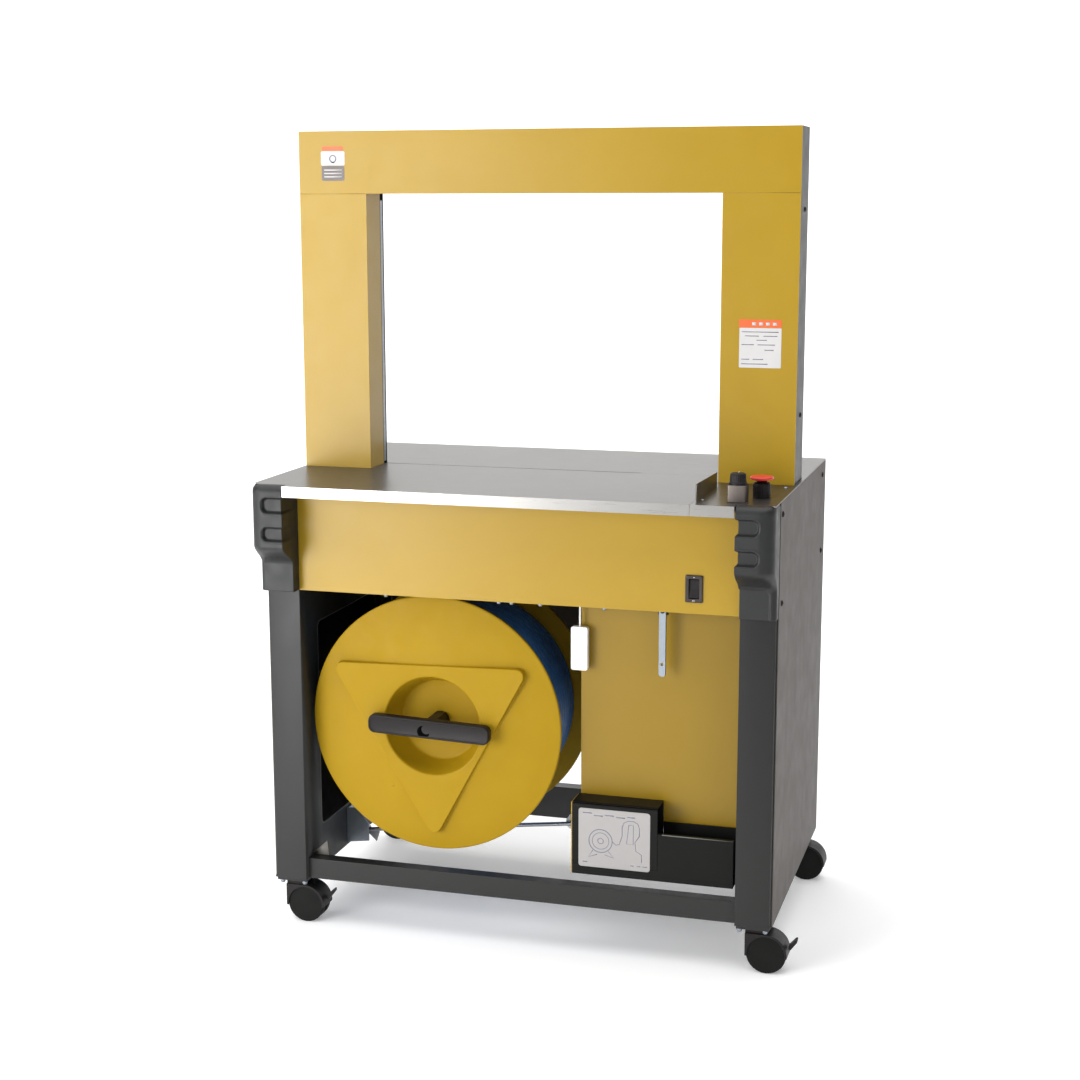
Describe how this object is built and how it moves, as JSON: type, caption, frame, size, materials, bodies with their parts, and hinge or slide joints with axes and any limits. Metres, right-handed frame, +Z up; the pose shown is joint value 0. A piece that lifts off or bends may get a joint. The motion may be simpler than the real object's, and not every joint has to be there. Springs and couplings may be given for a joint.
{
  "type": "arch strapping machine",
  "caption": "Arch strapping machine with a stainless steel table, control knobs, a strap reel on a quarter-turn lock, a strap pool and swivel casters.",
  "frame": {"origin": "middle of the footprint of the whole machine, on the floor", "axes": "+X to the operator right, +Y to the back, +Z up; the front and its controls face -Y"},
  "size_m": [0.962, 0.614, 1.44],
  "materials": {
    "yellow_paint": "satin powder coat",
    "dark_paint": "fine textured powder coat",
    "grey_paint": "satin powder coat",
    "black_paint": "satin powder coat",
    "stainless_steel": "fine satin",
    "machined_steel": "ground",
    "zinc_plate": "zinc plated",
    "bumper_plastic": "moulded, finely grained",
    "black_plastic": "moulded",
    "reel_plastic": "moulded, low gloss",
    "strap_plastic": "embossed polypropylene strap",
    "red_plastic": "moulded",
    "white_plastic": "moulded",
    "brass_alloy": "machined",
    "wheel_plastic": "hard nylon tread"
  },
  "bodies": {
    "stand": {"left_side_frame": "dark_paint", "right_side_frame": "dark_paint", "left_side_panel": "grey_paint", "right_side_panel": "grey_paint", "front_rail": "dark_paint", "rear_rail": "black_paint", "deck_plate": "dark_paint", "front_panel": "yellow_paint", "rear_panel": "grey_paint", "power_inlet": "black_plastic", "control_panel": "stainless_steel", "left_bumper": "bumper_plastic", "right_bumper": "bumper_plastic", "arch_front_cover": "yellow_paint", "arch_frame": "dark_paint", "reel_stand": "dark_paint", "pool_box": "dark_paint", "pool_cover": "yellow_paint", "lower_trough": "dark_paint", "label_box": "dark_paint", "brake_bracket": "zinc_plate", "selector_box": "stainless_steel", "estop_base": "black_plastic", "switch_bezel": "black_plastic", "head_block": "machined_steel", "drive_motor": "zinc_plate"},
    "front_table_lid": {"front_table": "stainless_steel"},
    "rear_table_lid": {"rear_table": "stainless_steel"},
    "left_flap": {"left_track_flap": "machined_steel"},
    "right_flap": {"right_track_flap": "machined_steel"},
    "top_flap": {"top_track_flap": "machined_steel"},
    "reel": {"front_flange": "reel_plastic", "rear_flange": "reel_plastic", "reel_core": "reel_plastic", "strap_coil": "strap_plastic"},
    "reel_lock": {"reel_lock_handle": "black_plastic"},
    "grip": {"release_grip": "white_plastic"},
    "lever": {"feed_lever": "zinc_plate"},
    "tension_arm": {"brake_arm": "machined_steel"},
    "tension_roller": {"brake_roller": "white_plastic"},
    "selector": {"selector_knob": "black_plastic"},
    "estop": {"estop_button": "red_plastic"},
    "rocker": {"switch_rocker": "black_plastic"},
    "cams": {"cam_shaft": "machined_steel"},
    "gripper_left": {"left_gripper": "machined_steel"},
    "gripper_right": {"right_gripper": "machined_steel"},
    "press": {"seal_press": "machined_steel"},
    "heater": {"heater_arm": "brass_alloy"},
    "feed_drive": {"feed_roller": "machined_steel"},
    "feed_pinch": {"pinch_roller": "machined_steel"},
    "front_left_caster": {"front_left_caster_hood": "black_plastic"},
    "front_left_wheel": {"front_left_caster_wheel": "wheel_plastic"},
    "front_left_pedal": {"front_left_brake_pedal": "black_plastic"},
    "front_right_caster": {"front_right_caster_hood": "black_plastic"},
    "front_right_wheel": {"front_right_caster_wheel": "wheel_plastic"},
    "front_right_pedal": {"front_right_brake_pedal": "black_plastic"},
    "rear_left_caster": {"rear_left_caster_hood": "black_plastic"},
    "rear_left_wheel": {"rear_left_caster_wheel": "wheel_plastic"},
    "rear_right_caster": {"rear_right_caster_hood": "black_plastic"},
    "rear_right_wheel": {"rear_right_caster_wheel": "wheel_plastic"}
  },
  "joints": [
    {"name": "front_table_hinge", "type": "hinge", "parent": "stand", "child": "front_table_lid", "pos_m": [-0.02, -0.305, 0.812], "axis": [1, 0, 0], "range_deg": [0, 80]},
    {"name": "rear_table_hinge", "type": "hinge", "parent": "stand", "child": "rear_table_lid", "pos_m": [-0.02, 0.307, 0.828], "axis": [-1, 0, 0], "range_deg": [0, 80]},
    {"name": "left_flap_hinge", "type": "hinge", "parent": "stand", "child": "left_flap", "pos_m": [-0.3515, 0.026, 1.08], "axis": [0, 0, 1], "range_deg": [0, 40], "stiffness_Nm_per_rad": 0.05, "springref_deg": -28.65},
    {"name": "right_flap_hinge", "type": "hinge", "parent": "stand", "child": "right_flap", "pos_m": [0.3025, 0.026, 1.08], "axis": [0, 0, -1], "range_deg": [0, 40], "stiffness_Nm_per_rad": 0.05, "springref_deg": -28.65},
    {"name": "top_flap_hinge", "type": "hinge", "parent": "stand", "child": "top_flap", "pos_m": [-0.0245, 0.026, 1.3305], "axis": [1, 0, 0], "range_deg": [0, 40], "stiffness_Nm_per_rad": 0.05, "springref_deg": -28.65},
    {"name": "reel_spin", "type": "hinge", "parent": "stand", "child": "reel", "pos_m": [-0.1785, 0, 0.3935], "axis": [0, 1, 0], "continuous": true},
    {"name": "reel_lock_turn", "type": "hinge", "parent": "reel", "child": "reel_lock", "pos_m": [-0.1785, -0.23, 0.3935], "axis": [0, 1, 0], "range_deg": [0, 90]},
    {"name": "grip_swing", "type": "hinge", "parent": "stand", "child": "grip", "pos_m": [0.083, -0.172, 0.632], "axis": [0, 1, 0], "range_deg": [-15, 15]},
    {"name": "feed_lever_swing", "type": "hinge", "parent": "stand", "child": "lever", "pos_m": [0.234, -0.187, 0.624], "axis": [0, 1, 0], "range_deg": [-20, 20]},
    {"name": "tension_arm_pivot", "type": "hinge", "parent": "stand", "child": "tension_arm", "pos_m": [-0.387, -0.031, 0.12], "axis": [0, -1, 0], "range_deg": [0, 4.5]},
    {"name": "tension_roller_spin", "type": "hinge", "parent": "tension_arm", "child": "tension_roller", "pos_m": [0.03087, -0.017, 0.17123], "axis": [0, 1, 0], "continuous": true},
    {"name": "selector_turn", "type": "hinge", "parent": "stand", "child": "selector", "pos_m": [0.3715, -0.25, 0.868], "axis": [0, 0, 1], "range_deg": [-135, 135]},
    {"name": "estop_press", "type": "slide", "parent": "stand", "child": "estop", "axis": [0, 0, -1], "range_m": [0, 0.0035], "stiffness_N_per_m": 600, "springref_m": -0.004},
    {"name": "switch_rock", "type": "hinge", "parent": "stand", "child": "rocker", "pos_m": [0.299, -0.236, 0.677], "axis": [1, 0, 0], "range_deg": [0, 12]},
    {"name": "front_left_swivel", "type": "hinge", "parent": "stand", "child": "front_left_caster", "pos_m": [-0.449, -0.202, 0.083], "axis": [0, 0, 1], "continuous": true},
    {"name": "front_left_wheel_spin", "type": "hinge", "parent": "front_left_caster", "child": "front_left_wheel", "pos_m": [-0.429, -0.202, 0.035], "axis": [0, 1, 0], "continuous": true},
    {"name": "front_left_pedal_press", "type": "hinge", "parent": "front_left_caster", "child": "front_left_pedal", "pos_m": [-0.39, -0.202, 0.046], "axis": [0, 1, 0], "range_deg": [0, 12]},
    {"name": "front_right_swivel", "type": "hinge", "parent": "stand", "child": "front_right_caster", "pos_m": [0.409, -0.202, 0.083], "axis": [0, 0, 1], "continuous": true},
    {"name": "front_right_wheel_spin", "type": "hinge", "parent": "front_right_caster", "child": "front_right_wheel", "pos_m": [0.429, -0.202, 0.035], "axis": [0, 1, 0], "continuous": true},
    {"name": "front_right_pedal_press", "type": "hinge", "parent": "front_right_caster", "child": "front_right_pedal", "pos_m": [0.468, -0.202, 0.046], "axis": [0, 1, 0], "range_deg": [0, 12]},
    {"name": "rear_left_swivel", "type": "hinge", "parent": "stand", "child": "rear_left_caster", "pos_m": [-0.449, 0.268, 0.083], "axis": [0, 0, 1], "continuous": true},
    {"name": "rear_left_wheel_spin", "type": "hinge", "parent": "rear_left_caster", "child": "rear_left_wheel", "pos_m": [-0.429, 0.268, 0.035], "axis": [0, 1, 0], "continuous": true},
    {"name": "rear_right_swivel", "type": "hinge", "parent": "stand", "child": "rear_right_caster", "pos_m": [0.409, 0.268, 0.083], "axis": [0, 0, 1], "continuous": true},
    {"name": "rear_right_wheel_spin", "type": "hinge", "parent": "rear_right_caster", "child": "rear_right_wheel", "pos_m": [0.429, 0.268, 0.035], "axis": [0, 1, 0], "continuous": true},
    {"name": "cam_shaft_spin", "type": "hinge", "parent": "stand", "child": "cams", "pos_m": [-0.1, 0.0205, 0.69], "axis": [0, 1, 0], "continuous": true},
    {"name": "gripper_left_lift", "type": "slide", "parent": "stand", "child": "gripper_left", "axis": [0, 0, 1], "range_m": [0, 0.008]},
    {"name": "gripper_right_lift", "type": "slide", "parent": "stand", "child": "gripper_right", "axis": [0, 0, 1], "range_m": [0, 0.008]},
    {"name": "press_lift", "type": "slide", "parent": "stand", "child": "press", "axis": [0, 0, 1], "range_m": [0, 0.008]},
    {"name": "heater_swing", "type": "hinge", "parent": "stand", "child": "heater", "pos_m": [-0.02, -0.0015, 0.768], "axis": [0, 1, 0], "range_deg": [0, 5]},
    {"name": "feed_roller_spin", "type": "hinge", "parent": "stand", "child": "feed_drive", "pos_m": [0.195, 0.021, 0.7], "axis": [0, 1, 0], "continuous": true},
    {"name": "pinch_roller_spin", "type": "hinge", "parent": "stand", "child": "feed_pinch", "pos_m": [0.195, 0.021, 0.7488], "axis": [0, 1, 0], "continuous": true}
  ],
  "couplings": [
    {"joint": "pinch_roller_spin", "follows": "feed_roller_spin", "ratio": -1.6667}
  ]
}
